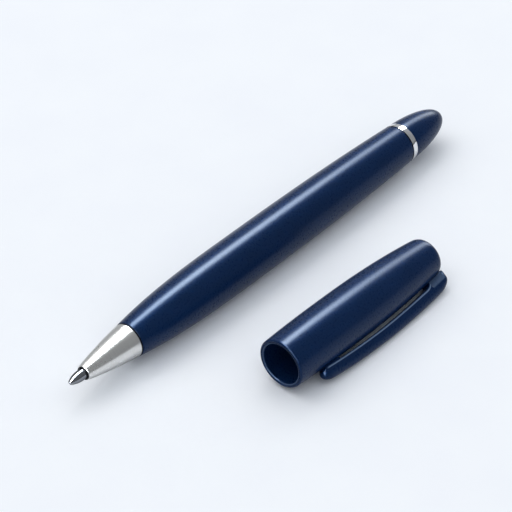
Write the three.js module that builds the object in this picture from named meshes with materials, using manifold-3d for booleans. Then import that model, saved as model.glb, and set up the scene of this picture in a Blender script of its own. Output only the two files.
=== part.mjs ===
import * as THREE from 'three';
import { mergeVertices } from 'three/addons/utils/BufferGeometryUtils.js';
import Module from 'manifold-3d';

// A rollerball pen with its cap taken off and lying beside it. Millimetres, +Z up.
// Each piece of the pen is drawn along +X from the front of the ball at x = 0.
// Each piece of the cap is drawn along +X from the mouth at x = 0.

const wasm = await Module();
wasm.setup();

// Clearances
const FIT = 0.04;
const SLIDE_GAP = 0.1;
const FACE_GAP = 0.03;
const TURNED_GAP = 0.3;

// Faces round a piece
const BODY_SIDES = 36;
const SMALL_SIDES = 20;
const FINE_SIDES = 12;
const THREAD_SIDES = 16;

// Steps along a piece
const BARREL_STEPS = 16;
const DOME_STEPS = 12;
const NOSE_STEPS = 8;
const TIP_STEPS = 8;
const CAP_FRONT_STEPS = 6;
const CAP_REAR_STEPS = 9;
const CAP_DOME_STEPS = 9;
const CAP_BORE_STEPS = 7;
const LIP_STEPS = 4;
const LOCK_STEPS = 4;
const CLIP_STEPS = 18;
const CLIP_END_STEPS = 4;
const CLIP_ROUND_STEPS = 10;

// Barrel
const NOSE_JOINT_X = 18.7;
const BARREL_FRONT_RADIUS = 4.27;
const BELLY_X = 57;
const BELLY_RADIUS = 6.12;
const FRONT_TAPER_POWER = 3.07;
const REAR_TAPER_POWER = 2.5;
const BARREL_END_RADIUS = 5.02;
const BARREL_BORE_RADIUS = 3.9;
const BARREL_BORE_START = 30;
const BARREL_LIP = 0.15;

// Trim ring and finial
const TRIM_WIDTH = 1.7;
const TRIM_BULGE = 0.05;
const TRIM_EDGE = 0.12;
const FINIAL_LENGTH = 14.8;
const FINIAL_RADIUS = 4.93;
const FINIAL_ALONG_POWER = 1.6;
const FINIAL_ROUND_POWER = 2.4;
const FINIAL_BORE_DEPTH = 7.5;

// Threaded joint of the nose
const THREAD_PITCH = 1;
const THREAD_TURNS = 3.5;
const THREAD_MAJOR_RADIUS = 3.3;
const THREAD_DEPTH = 0.3;
const THREAD_RADIAL_GAP = 0.1;
const THREAD_FLANK_GAP = 0.1;
const THREAD_ROOT_WIDTH = 0.62;
const THREAD_CREST_WIDTH = 0.34;
const THREAD_RUNOUT_TURNS = 2;
const INSERT_WALL = 0.35;
const INSERT_LENGTH = 8;
const SPIGOT_LENGTH = 6;
const SPIGOT_BORE_RADIUS = 2.25;

// Nose cone, its seal and its guide bush
const SEAL_THICKNESS = 0.24;
const NOSE_FRONT_X = 4.45;
const NOSE_FRONT_RADIUS = 1.8;
const NOSE_REAR_RADIUS = 4.2;
const NOSE_CURVE = 0.12;
const BUSH_FRONT_X = 4.12;
const BUSH_LIP_RADIUS = 1.66;
const BUSH_RADIUS = 1.5;
const BUSH_LENGTH = 4.2;

// Refill
const BALL_RADIUS = 0.38;
const BALL_CLEARANCE = 0.04;
const TIP_RIM_X = 0.2;
const TIP_RIM_RADIUS = 0.45;
const TIP_RADIUS = 1.25;
const TIP_SHOULDER_X = 4.2;
const TIP_CURVE_POWER = 2.4;
const TIP_REAR_X = 10;
const TIP_STEM_RADIUS = 0.92;
const TIP_STEM_LENGTH = 3.4;
const ROD_RADIUS = 0.42;
const ROD_CHAMFER = 0.13;
const ROD_FRONT_X = 2.1;
const ROD_REAR_X = 40.5;
const NECK_RADIUS = 2.05;
const NECK_TAPER_LENGTH = 4;
const NECK_PLUG_LENGTH = 5.5;
const REFILL_RADIUS = 2.8;
const REFILL_WALL = 0.4;
const REFILL_FLANGE = 0.4;
const REFILL_TUBE_LENGTH = 75.5;
const END_PLUG_LENGTH = 3;
const VENT_RADIUS = 0.4;

// Spring behind the refill
const SPRING_RADIUS = 1.7;
const SPRING_WIRE_RADIUS = 0.2;
const SPRING_TURNS = 7;
const SPRING_STEPS = 10;
const SPRING_SIDES = 6;
const SPRING_LENGTH = 8;
const CUP_WALL = 0.35;
const CUP_LENGTH = 3;

// Sleeve that holds the tail
const TAIL_INSERT_SETBACK = 2.91;
const TAIL_INSERT_HOLD = 7.65;
const TAIL_SPIGOT_RADIUS = 3.15;
const TAIL_BORE_RADIUS = 2.62;
const TAIL_SEAT_THICKNESS = 0.8;

// Cap shell
const CAP_LENGTH = 51.3;
const CAP_MOUTH_RADIUS = 6;
const CAP_BELLY_X = 20;
const CAP_BELLY_RADIUS = 6.36;
const CAP_FRONT_POWER = 2.5;
const CAP_REAR_RADIUS = 4.635;
const CAP_REAR_POWER = 2.24;
const CAP_DOME_LENGTH = 3.7;
const CAP_ALONG_POWER = 5.45;
const CAP_ROUND_POWER = 4.4;
const CAP_BORE_RADIUS = 4.95;
const CAP_WALL = 1.05;
const CAP_END_WALL = 1.7;
const CAP_LIP_ROUND = 0.38;

// Inner cup of the cap
const LINER_FRONT_X = 12;
const LINER_LENGTH = 23;
const LINER_LIP_RADIUS = 3.3;
const LINER_LIP_LENGTH = 1.6;
const LINER_WALL = 1;
const LINER_END_WALL = 1.2;

// Clip
const CLIP_WIDTH = 3.4;
const CLIP_TIP_X = 6.8;
const CLIP_OVERHANG = 0.05;
const CLIP_ROOT_LENGTH = 5.9;
const CLIP_SIDE_HEIGHT = 0.35;
const CLIP_UNDER_CHAMFER = 0.3;
const CLIP_PAD_START = 1.3;
const CLIP_PAD_LENGTH = 4.7;
const CLIP_CROWN_SETBACK = 24.85;
const CLIP_CROWN_EDGE_RADIUS = 7.78;
const CLIP_TIP_EDGE_RADIUS = 7.06;
const CLIP_END_EDGE_RADIUS = 6.31;
const EDGE_TIP_POWER = 2.2;
const EDGE_END_POWER = 1.6;
const CLIP_CROWN_RADIUS = 10;
const CLIP_TIP_RADIUS = 8.98;
const CLIP_END_RADIUS = 8.34;
const CREST_TIP_POWER = 2.6;
const CREST_END_POWER = 1.9;
const CLIP_TIP_CENTRE_RADIUS = 7.67;
const CLIP_TIP_ROUND = 2.2;
const CLIP_END_ROUND = 3.3;
const CLIP_CORNER_ROUND = 1.25;
const CLIP_CORNER_STEPS = 8;
const CLIP_LEAST_ROUND = 0.2;
const CLIP_ROOT_TAPER = 0.5;
const CLIP_BELOW_LEVEL_DEG = 35;
const CLIP_TRAVEL_DEG = 3.5;
const FOOT_WIDTH = 2;
const FOOT_LENGTH = 2.6;
const FOOT_SETBACK = 3.7;
const FOOT_BARB = 0.5;
const FOOT_BARB_THICKNESS = 0.7;
const LOCK_SETBACK = 3.6;
const LOCK_WALL = 0.9;

// How the two lie on the table
const CAP_MOUTH_X = 33.84;
const CAP_DISTANCE = 30.8;
const CAP_TILT_DEG = 1.5;

// Values worked out from those above
const insertOuterRadius = THREAD_MAJOR_RADIUS + INSERT_WALL;
const insertMinorRadius = THREAD_MAJOR_RADIUS - THREAD_DEPTH;
const spigotCoreRadius = insertMinorRadius - THREAD_RADIAL_GAP;
const spigotEndX = NOSE_JOINT_X + SPIGOT_LENGTH;
const threadStartX = NOSE_JOINT_X + THREAD_PITCH;
const insertEndX = NOSE_JOINT_X + BARREL_LIP + INSERT_LENGTH;
const sealRearX = NOSE_JOINT_X - FACE_GAP;
const sealFrontX = sealRearX - SEAL_THICKNESS;
const noseRearX = sealFrontX - FACE_GAP;
const bushRearX = BUSH_FRONT_X + BUSH_LENGTH;
const refillFlangeX = spigotEndX + FACE_GAP;
const tubeFrontX = refillFlangeX + REFILL_FLANGE + FACE_GAP;
const tubeRearX = tubeFrontX + REFILL_TUBE_LENGTH;
const tubeBoreRadius = REFILL_RADIUS - REFILL_WALL;
const neckPlugEndX = tubeFrontX + NECK_PLUG_LENGTH;
const endPlugX = tubeRearX - END_PLUG_LENGTH;
const refillEndX = tubeRearX + FACE_GAP + REFILL_FLANGE * 2;
const tailInsertFrontX = refillEndX + TAIL_INSERT_SETBACK;
const barrelEndX = tailInsertFrontX + TAIL_INSERT_HOLD;
const trimEndX = barrelEndX + TRIM_WIDTH;
const tailX = trimEndX + FINIAL_LENGTH;
const cupFrontX = refillEndX + FACE_GAP;
const springFrontX = cupFrontX + CUP_WALL + FACE_GAP;
const springRearX = springFrontX + SPRING_LENGTH;
const tailSeatX = springRearX + FACE_GAP;
const cupRadius = TAIL_BORE_RADIUS - SLIDE_GAP;
const trimBoreRadius = TAIL_SPIGOT_RADIUS + FIT;
const capDomeX = CAP_LENGTH - CAP_DOME_LENGTH;
const capBoreEndX = CAP_LENGTH - CAP_END_WALL;
const linerEndX = LINER_FRONT_X + LINER_LENGTH;
const clipEndX = CAP_LENGTH + CLIP_OVERHANG;
const clipRootX = clipEndX - CLIP_ROOT_LENGTH;
const clipCrownX = clipEndX - CLIP_CROWN_SETBACK;
const footStartX = capBoreEndX - FOOT_SETBACK;
const footEndX = footStartX + FOOT_LENGTH;
const barbEndX = footEndX + TURNED_GAP + FOOT_BARB;
const lockEndX = footStartX - TURNED_GAP;
const lockFrontX = linerEndX + LOCK_SETBACK;
const footTravel = THREE.MathUtils.degToRad(CLIP_TRAVEL_DEG);
const clipEdge = {
  crown: CLIP_CROWN_EDGE_RADIUS,
  tip: CLIP_TIP_EDGE_RADIUS,
  end: CLIP_END_EDGE_RADIUS,
  tipPower: EDGE_TIP_POWER,
  endPower: EDGE_END_POWER,
};
const clipCrest = {
  crown: CLIP_CROWN_RADIUS,
  tip: CLIP_TIP_RADIUS,
  end: CLIP_END_RADIUS,
  tipPower: CREST_TIP_POWER,
  endPower: CREST_END_POWER,
};

// Mesh helpers

function signedVolume(positions, index) {
  const a = new THREE.Vector3();
  const b = new THREE.Vector3();
  const c = new THREE.Vector3();
  let volume = 0;
  for (let i = 0; i < index.length; i += 3) {
    a.fromBufferAttribute(positions, index[i]);
    b.fromBufferAttribute(positions, index[i + 1]);
    c.fromBufferAttribute(positions, index[i + 2]);
    volume += a.dot(b.cross(c)) / 6;
  }
  return volume;
}

// One closed skin: shared corners merged, collapsed triangles dropped, faces outward
function closedSkin(geometry) {
  const bare = geometry.clone();
  bare.deleteAttribute('normal');
  bare.deleteAttribute('uv');
  const merged = mergeVertices(bare, 1e-5);
  const source = merged.index.array;
  const kept = [];
  for (let i = 0; i < source.length; i += 3) {
    const [a, b, c] = [source[i], source[i + 1], source[i + 2]];
    if (a !== b && b !== c && a !== c) kept.push(a, b, c);
  }
  if (signedVolume(merged.attributes.position, kept) < 0) kept.reverse();
  merged.setIndex(kept);
  return merged;
}

function toSolid(geometry) {
  const skin = closedSkin(geometry);
  const mesh = new wasm.Mesh({
    numProp: 3,
    vertProperties: new Float32Array(skin.attributes.position.array),
    triVerts: new Uint32Array(skin.index.array),
  });
  return new wasm.Manifold(mesh);
}

function toGeometry(solid) {
  const mesh = solid.getMesh();
  const geometry = new THREE.BufferGeometry();
  geometry.setAttribute('position', new THREE.BufferAttribute(new Float32Array(mesh.vertProperties), 3));
  geometry.setIndex(new THREE.BufferAttribute(new Uint32Array(mesh.triVerts), 1));
  return closedSkin(geometry);
}

// Turns a loop of [along X, radius] pairs round the X axis
function revolve(loop, sides) {
  const points = loop.map(([x, radius]) => new THREE.Vector2(radius, x));
  const first = loop[0];
  const last = loop[loop.length - 1];
  const open = first[1] > 0 || last[1] > 0;
  if (open) points.push(points[0].clone());
  const geometry = new THREE.LatheGeometry(points, sides);
  geometry.rotateZ(-Math.PI / 2);
  return closedSkin(geometry);
}

// Stations from one place to another, both included
function stations(from, to, steps) {
  return Array.from({ length: steps + 1 }, (_, i) => from + ((to - from) * i) / steps);
}

function named(name, geometry, material) {
  const mesh = new THREE.Mesh(geometry, material);
  mesh.name = name;
  return mesh;
}

// Materials

const navy = new THREE.MeshStandardMaterial({ color: 0x14284f, roughness: 0.18, metalness: 0 });
const darkNavy = new THREE.MeshStandardMaterial({ color: 0x0b1630, roughness: 0.45, metalness: 0 });
const satinSteel = new THREE.MeshStandardMaterial({ color: 0xb9b8b5, roughness: 0.3, metalness: 1 });
const polishedSteel = new THREE.MeshStandardMaterial({ color: 0x9a9da3, roughness: 0.12, metalness: 1 });
const chrome = new THREE.MeshStandardMaterial({ color: 0xd8d9dc, roughness: 0.08, metalness: 1 });
const black = new THREE.MeshStandardMaterial({ color: 0x101113, roughness: 0.5, metalness: 0 });
const brass = new THREE.MeshStandardMaterial({ color: 0xb08d45, roughness: 0.35, metalness: 1 });
const clearPlastic = new THREE.MeshStandardMaterial({ color: 0xd6dadf, roughness: 0.35, metalness: 0 });
const fibre = new THREE.MeshStandardMaterial({ color: 0x23306b, roughness: 0.9, metalness: 0 });
const springSteel = new THREE.MeshStandardMaterial({ color: 0xa4a6a8, roughness: 0.3, metalness: 1 });

// Outer forms

function barrelRadius(x) {
  if (x <= BELLY_X) {
    const drop = (BELLY_X - x) / (BELLY_X - NOSE_JOINT_X);
    return BELLY_RADIUS - (BELLY_RADIUS - BARREL_FRONT_RADIUS) * drop ** FRONT_TAPER_POWER;
  }
  const drop = (x - BELLY_X) / (barrelEndX - BELLY_X);
  return BELLY_RADIUS - (BELLY_RADIUS - BARREL_END_RADIUS) * drop ** REAR_TAPER_POWER;
}

function finialRadius(x) {
  const along = Math.min((x - trimEndX) / FINIAL_LENGTH, 1);
  return FINIAL_RADIUS * (1 - along ** FINIAL_ALONG_POWER) ** (1 / FINIAL_ROUND_POWER);
}

function noseRadius(x) {
  const along = (x - NOSE_FRONT_X) / (noseRearX - NOSE_FRONT_X);
  const straight = NOSE_FRONT_RADIUS + (NOSE_REAR_RADIUS - NOSE_FRONT_RADIUS) * along;
  return straight + NOSE_CURVE * 4 * along * (1 - along);
}

function tipRadius(x) {
  const back = (TIP_SHOULDER_X - x) / (TIP_SHOULDER_X - TIP_RIM_X);
  return TIP_RADIUS - (TIP_RADIUS - TIP_RIM_RADIUS) * back ** TIP_CURVE_POWER;
}

function capRadius(x) {
  if (x <= CAP_BELLY_X) {
    const drop = (CAP_BELLY_X - x) / CAP_BELLY_X;
    return CAP_BELLY_RADIUS - (CAP_BELLY_RADIUS - CAP_MOUTH_RADIUS) * drop ** CAP_FRONT_POWER;
  }
  const drop = (x - CAP_BELLY_X) / (CAP_LENGTH - CAP_BELLY_X);
  const wall = CAP_BELLY_RADIUS - (CAP_BELLY_RADIUS - CAP_REAR_RADIUS) * drop ** CAP_REAR_POWER;
  const dome = THREE.MathUtils.clamp((x - capDomeX) / CAP_DOME_LENGTH, 0, 1);
  return wall * (1 - dome ** CAP_ALONG_POWER) ** (1 / CAP_ROUND_POWER);
}

function capBoreRadius(x) {
  return Math.min(CAP_BORE_RADIUS, capRadius(x) - CAP_WALL);
}

// Stations that crowd towards the end of a dome
function domeStations(from, to, steps) {
  return stations(0, Math.PI / 2, steps).map((angle) => from + (to - from) * Math.sin(angle));
}

// Outside of the cap from behind its lip to just before its closed end
function capOutline() {
  const front = stations(CAP_LIP_ROUND, CAP_BELLY_X, CAP_FRONT_STEPS).slice(1);
  const rear = stations(CAP_BELLY_X, capDomeX, CAP_REAR_STEPS).slice(1);
  const dome = domeStations(capDomeX, CAP_LENGTH, CAP_DOME_STEPS).slice(1, -1);
  return [...front, ...rear, ...dome].map((x) => [x, capRadius(x)]);
}

// Thread: a trapezoid ridge wound round X, fading at both ends
function threadRidge({ startX, turns, rootRadius, crestRadius, rootWidth, crestWidth }) {
  const stepsPerTurn = THREAD_SIDES;
  const steps = Math.round(turns * stepsPerTurn);
  const fade = THREAD_SIDES / 2;
  const positions = [];
  const index = [];
  for (let i = 0; i <= steps; i += 1) {
    const height = Math.min(1, (i + 0.5) / fade, (steps - i + 0.5) / fade);
    const top = rootRadius + (crestRadius - rootRadius) * height;
    const angle = (i / stepsPerTurn) * Math.PI * 2;
    const x = startX + (i / stepsPerTurn) * THREAD_PITCH;
    const section = [
      [-rootWidth / 2, rootRadius],
      [-crestWidth / 2, top],
      [crestWidth / 2, top],
      [rootWidth / 2, rootRadius],
    ];
    for (const [offset, radius] of section) {
      positions.push(x + offset, radius * Math.cos(angle), radius * Math.sin(angle));
    }
  }
  const corner = (i, j) => i * 4 + (j % 4);
  for (let i = 0; i < steps; i += 1) {
    for (let j = 0; j < 4; j += 1) {
      index.push(corner(i, j), corner(i, j + 1), corner(i + 1, j + 1));
      index.push(corner(i, j), corner(i + 1, j + 1), corner(i + 1, j));
    }
  }
  index.push(corner(0, 0), corner(0, 2), corner(0, 1), corner(0, 0), corner(0, 3), corner(0, 2));
  index.push(corner(steps, 0), corner(steps, 1), corner(steps, 2));
  index.push(corner(steps, 0), corner(steps, 2), corner(steps, 3));
  const geometry = new THREE.BufferGeometry();
  geometry.setAttribute('position', new THREE.Float32BufferAttribute(positions, 3));
  geometry.setIndex(index);
  return geometry;
}

// Pieces of the barrel

function makeBarrel() {
  const outside = [
    [NOSE_JOINT_X, BARREL_FRONT_RADIUS - BARREL_LIP],
    ...stations(NOSE_JOINT_X + BARREL_LIP, barrelEndX, BARREL_STEPS).map((x) => [x, barrelRadius(x)]),
  ];
  const insertSeat = insertOuterRadius + FIT;
  const inside = [
    [barrelEndX, BARREL_BORE_RADIUS],
    [BARREL_BORE_START, BARREL_BORE_RADIUS],
    [BARREL_BORE_START, insertOuterRadius - INSERT_WALL],
    [insertEndX + FACE_GAP, insertOuterRadius - INSERT_WALL],
    [insertEndX + FACE_GAP, insertSeat],
    [NOSE_JOINT_X, insertSeat],
  ];
  return revolve([...outside, ...inside], BODY_SIDES);
}

function makeFrontInsert() {
  const frontX = NOSE_JOINT_X + BARREL_LIP;
  const body = toSolid(revolve([
    [frontX, insertMinorRadius],
    [frontX, insertOuterRadius],
    [insertEndX, insertOuterRadius],
    [insertEndX, insertMinorRadius],
  ], BODY_SIDES));
  const groove = toSolid(threadRidge({
    startX: threadStartX - THREAD_PITCH * THREAD_RUNOUT_TURNS,
    turns: THREAD_TURNS + THREAD_RUNOUT_TURNS * 2,
    rootRadius: insertMinorRadius - THREAD_RADIAL_GAP,
    crestRadius: THREAD_MAJOR_RADIUS,
    rootWidth: THREAD_ROOT_WIDTH + THREAD_FLANK_GAP,
    crestWidth: THREAD_CREST_WIDTH,
  }));
  return toGeometry(body.subtract(groove));
}

function makeTailInsert() {
  return revolve([
    [tailInsertFrontX, TAIL_BORE_RADIUS],
    [tailInsertFrontX, BARREL_BORE_RADIUS - FIT],
    [barrelEndX - FACE_GAP, BARREL_BORE_RADIUS - FIT],
    [barrelEndX - FACE_GAP, TAIL_SPIGOT_RADIUS],
    [trimEndX + FINIAL_BORE_DEPTH - FACE_GAP, TAIL_SPIGOT_RADIUS],
    [trimEndX + FINIAL_BORE_DEPTH - FACE_GAP, TAIL_BORE_RADIUS - TAIL_SEAT_THICKNESS],
    [tailSeatX + TAIL_SEAT_THICKNESS, TAIL_BORE_RADIUS - TAIL_SEAT_THICKNESS],
    [tailSeatX + TAIL_SEAT_THICKNESS, VENT_RADIUS],
    [tailSeatX, VENT_RADIUS],
    [tailSeatX, TAIL_BORE_RADIUS],
  ], BODY_SIDES);
}

function makeTrimRing() {
  const frontX = barrelEndX + FACE_GAP;
  const rearX = trimEndX - FACE_GAP;
  const middle = (frontX + rearX) / 2;
  const edge = TRIM_EDGE;
  const ringRadius = (BARREL_END_RADIUS + FINIAL_RADIUS) / 2 + TRIM_BULGE;
  return revolve([
    [frontX, trimBoreRadius],
    [frontX, BARREL_END_RADIUS - edge],
    [frontX + edge, BARREL_END_RADIUS],
    [middle, ringRadius],
    [rearX - edge, FINIAL_RADIUS],
    [rearX, FINIAL_RADIUS - edge],
    [rearX, trimBoreRadius],
  ], BODY_SIDES);
}

function makeFinial() {
  const dome = domeStations(trimEndX, tailX, DOME_STEPS).slice(0, -1).map((x) => [x, finialRadius(x)]);
  const boreEnd = trimEndX + FINIAL_BORE_DEPTH;
  return revolve([
    ...dome,
    [tailX, 0],
    [boreEnd, 0],
    [boreEnd, trimBoreRadius],
    [trimEndX, trimBoreRadius],
    [trimEndX, finialRadius(trimEndX) - FACE_GAP],
  ], BODY_SIDES);
}

// Pieces of the nose

function makeNoseCone() {
  const outside = stations(NOSE_FRONT_X, noseRearX, NOSE_STEPS).map((x) => [x, noseRadius(x)]);
  const bushSeat = BUSH_RADIUS + FIT;
  const shell = toSolid(revolve([
    [NOSE_FRONT_X, bushSeat],
    ...outside,
    [noseRearX, spigotCoreRadius],
    [spigotEndX, spigotCoreRadius],
    [spigotEndX, SPIGOT_BORE_RADIUS],
    [NOSE_JOINT_X - NECK_TAPER_LENGTH, SPIGOT_BORE_RADIUS],
    [bushRearX + FACE_GAP, bushSeat],
  ], BODY_SIDES));
  const ridge = toSolid(threadRidge({
    startX: threadStartX,
    turns: THREAD_TURNS,
    rootRadius: spigotCoreRadius - THREAD_RADIAL_GAP,
    crestRadius: THREAD_MAJOR_RADIUS - THREAD_RADIAL_GAP,
    rootWidth: THREAD_ROOT_WIDTH,
    crestWidth: THREAD_CREST_WIDTH - THREAD_FLANK_GAP,
  }));
  return toGeometry(shell.add(ridge));
}

function makeNoseBush() {
  const bore = TIP_RADIUS + SLIDE_GAP / 2;
  return revolve([
    [BUSH_FRONT_X, bore],
    [BUSH_FRONT_X, BUSH_LIP_RADIUS - FIT],
    [BUSH_FRONT_X + FIT, BUSH_LIP_RADIUS],
    [NOSE_FRONT_X - FACE_GAP, BUSH_LIP_RADIUS],
    [NOSE_FRONT_X - FACE_GAP, BUSH_RADIUS],
    [bushRearX, BUSH_RADIUS],
    [bushRearX, bore],
  ], SMALL_SIDES);
}

function makeSealRing() {
  return revolve([
    [sealFrontX, THREAD_MAJOR_RADIUS],
    [sealFrontX, NOSE_REAR_RADIUS - FIT],
    [sealRearX, NOSE_REAR_RADIUS - FIT],
    [sealRearX, THREAD_MAJOR_RADIUS],
  ], BODY_SIDES);
}

// Pieces of the refill

function makeRefillTip() {
  const stemEndX = TIP_REAR_X + TIP_STEM_LENGTH;
  const socket = BALL_RADIUS + BALL_CLEARANCE;
  const rodBore = ROD_RADIUS + FIT;
  const inkChannel = ROD_RADIUS / 2;
  const outside = stations(TIP_RIM_X, TIP_SHOULDER_X, TIP_STEPS).map((x) => [x, tipRadius(x)]);
  return revolve([
    ...outside,
    [TIP_REAR_X, TIP_RADIUS],
    [TIP_REAR_X, TIP_STEM_RADIUS],
    [stemEndX, TIP_STEM_RADIUS],
    [stemEndX, rodBore],
    [ROD_FRONT_X - FACE_GAP, rodBore],
    [ROD_FRONT_X - FACE_GAP - inkChannel, inkChannel],
    [BALL_RADIUS * 2 + BALL_CLEARANCE * 2, inkChannel],
    [BALL_RADIUS + socket * Math.SQRT1_2, socket],
    [BALL_RADIUS, socket],
    [TIP_RIM_X, socket - BALL_CLEARANCE],
  ], SMALL_SIDES);
}

function makeWritingBall() {
  const geometry = new THREE.SphereGeometry(BALL_RADIUS, FINE_SIDES, FINE_SIDES / 2);
  geometry.rotateX(Math.PI / 2);
  geometry.translate(BALL_RADIUS, 0, 0);
  return closedSkin(geometry);
}

function makeRefillNeck() {
  const stemBore = TIP_STEM_RADIUS + FIT;
  const stemEndX = TIP_REAR_X + TIP_STEM_LENGTH + FACE_GAP;
  const rodBore = ROD_RADIUS + SLIDE_GAP;
  return revolve([
    [TIP_REAR_X + FACE_GAP, stemBore],
    [TIP_REAR_X + FACE_GAP, TIP_RADIUS],
    [TIP_REAR_X + NECK_TAPER_LENGTH, NECK_RADIUS],
    [refillFlangeX, NECK_RADIUS],
    [refillFlangeX, REFILL_RADIUS],
    [refillFlangeX + REFILL_FLANGE, REFILL_RADIUS],
    [refillFlangeX + REFILL_FLANGE, tubeBoreRadius - FIT],
    [neckPlugEndX, tubeBoreRadius - FIT],
    [neckPlugEndX, rodBore],
    [stemEndX, rodBore],
    [stemEndX, stemBore],
  ], SMALL_SIDES);
}

function makeFeedRod() {
  return revolve([
    [ROD_FRONT_X, 0],
    [ROD_FRONT_X, ROD_RADIUS - ROD_CHAMFER],
    [ROD_FRONT_X + ROD_CHAMFER * 2, ROD_RADIUS],
    [ROD_REAR_X, ROD_RADIUS],
    [ROD_REAR_X, 0],
  ], FINE_SIDES);
}

function makeRefillTube() {
  return revolve([
    [tubeFrontX, tubeBoreRadius],
    [tubeFrontX, REFILL_RADIUS],
    [tubeRearX, REFILL_RADIUS],
    [tubeRearX, tubeBoreRadius],
  ], SMALL_SIDES);
}

function makeInkFiller() {
  const frontX = neckPlugEndX + FACE_GAP;
  const rearX = endPlugX - FACE_GAP;
  const rodBore = ROD_RADIUS + FIT;
  return revolve([
    [frontX, rodBore],
    [frontX, tubeBoreRadius - SLIDE_GAP],
    [rearX, tubeBoreRadius - SLIDE_GAP],
    [rearX, 0],
    [ROD_REAR_X + FACE_GAP, 0],
    [ROD_REAR_X + FACE_GAP, rodBore],
  ], SMALL_SIDES);
}

function makeRefillEndPlug() {
  const flangeX = tubeRearX + FACE_GAP;
  return revolve([
    [endPlugX, VENT_RADIUS],
    [endPlugX, tubeBoreRadius - FIT],
    [flangeX, tubeBoreRadius - FIT],
    [flangeX, REFILL_RADIUS - SLIDE_GAP],
    [refillEndX, REFILL_RADIUS - SLIDE_GAP * 3],
    [refillEndX, VENT_RADIUS],
  ], SMALL_SIDES);
}

function makeSpringCup() {
  return revolve([
    [cupFrontX, VENT_RADIUS],
    [cupFrontX, cupRadius - FIT],
    [cupFrontX + FIT, cupRadius],
    [cupFrontX + CUP_LENGTH, cupRadius],
    [cupFrontX + CUP_LENGTH, cupRadius - CUP_WALL],
    [cupFrontX + CUP_WALL, cupRadius - CUP_WALL],
    [cupFrontX + CUP_WALL, VENT_RADIUS],
  ], SMALL_SIDES);
}

class SpringCurve extends THREE.Curve {
  getPoint(t, target = new THREE.Vector3()) {
    const angle = t * SPRING_TURNS * Math.PI * 2;
    const length = SPRING_LENGTH - SPRING_WIRE_RADIUS * 2;
    const x = springFrontX + SPRING_WIRE_RADIUS + length * t;
    return target.set(x, SPRING_RADIUS * Math.cos(angle), SPRING_RADIUS * Math.sin(angle));
  }
}

function makeRefillSpring() {
  const corners = stations(0, Math.PI * 2, SPRING_SIDES).slice(0, -1).map((angle) => (
    new THREE.Vector2(SPRING_WIRE_RADIUS * Math.cos(angle), SPRING_WIRE_RADIUS * Math.sin(angle))
  ));
  const wire = new THREE.Shape(corners);
  const geometry = new THREE.ExtrudeGeometry(wire, {
    steps: SPRING_TURNS * SPRING_STEPS,
    extrudePath: new SpringCurve(),
  });
  return closedSkin(geometry);
}

// Pieces of the cap

function windowCutter() {
  const span = FOOT_LENGTH + TURNED_GAP * 2;
  const width = FOOT_WIDTH + TURNED_GAP * 2;
  const height = CAP_BELLY_RADIUS;
  const geometry = new THREE.BoxGeometry(span, width, height);
  geometry.translate(footStartX + FOOT_LENGTH / 2, 0, height / 2);
  return toSolid(geometry);
}

function makeCapShell() {
  const lip = CAP_LIP_ROUND;
  const outsideRound = stations(Math.PI / 2, 0, LIP_STEPS).map((angle) => [
    lip * (1 - Math.sin(angle)),
    capRadius(lip) - lip * (1 - Math.cos(angle)),
  ]);
  const insideRound = stations(Math.PI / 2, 0, LIP_STEPS).map((angle) => [
    lip * (1 - Math.cos(angle)),
    CAP_BORE_RADIUS + lip * (1 - Math.sin(angle)),
  ]);
  const boreStations = stations(capBoreEndX, linerEndX, CAP_BORE_STEPS).slice(0, -1);
  const body = toSolid(revolve([
    ...outsideRound,
    ...capOutline(),
    [CAP_LENGTH, 0],
    [capBoreEndX, 0],
    ...boreStations.map((x) => [x, capBoreRadius(x)]),
    [linerEndX, CAP_BORE_RADIUS],
    ...insideRound,
  ], BODY_SIDES));
  return toGeometry(body.subtract(windowCutter()));
}

function makeCapLiner() {
  const seat = CAP_BORE_RADIUS - FIT * 2;
  const waist = seat - LINER_WALL / 2;
  const cupRadiusInside = seat - LINER_WALL;
  const bandEnd = LINER_FRONT_X + LINER_LIP_LENGTH * 2;
  const rearBand = linerEndX - LINER_LIP_LENGTH * 2;
  return revolve([
    [LINER_FRONT_X, LINER_LIP_RADIUS + LINER_WALL / 2],
    [LINER_FRONT_X, seat],
    [bandEnd, seat],
    [bandEnd, waist],
    [rearBand, waist],
    [rearBand, seat],
    [linerEndX, seat],
    [linerEndX, 0],
    [linerEndX - LINER_END_WALL, 0],
    [linerEndX - LINER_END_WALL, cupRadiusInside],
    [LINER_FRONT_X + LINER_LIP_LENGTH, cupRadiusInside],
    [LINER_FRONT_X + LINER_LIP_LENGTH, LINER_LIP_RADIUS],
    [LINER_FRONT_X + LINER_WALL / 2, LINER_LIP_RADIUS],
  ], BODY_SIDES);
}

function makeClipLock() {
  const outside = stations(lockFrontX, lockEndX, LOCK_STEPS).map((x) => [x, capBoreRadius(x) - SLIDE_GAP]);
  const bore = capBoreRadius(lockEndX) - LOCK_WALL;
  return revolve([...outside, [lockEndX, bore], [lockFrontX, bore]], BODY_SIDES);
}

// Clip, drawn with its radial direction along +Z and its width along Y

// Height of a bowed line of the clip: highest at the crown, lower at both ends
function bowed(line, x) {
  if (x <= clipCrownX) {
    const drop = (clipCrownX - x) / (clipCrownX - CLIP_TIP_X);
    return line.crown - (line.crown - line.tip) * drop ** line.tipPower;
  }
  const drop = (x - clipCrownX) / (clipEndX - clipCrownX);
  return line.crown - (line.crown - line.end) * drop ** line.endPower;
}

// How much of the full section is left near a rounded end
function clipRounding(x, endX, round) {
  const left = Math.min(Math.abs(x - endX) / round, 1);
  return Math.max(Math.sqrt(1 - (1 - left) ** 2), CLIP_LEAST_ROUND);
}

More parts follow.
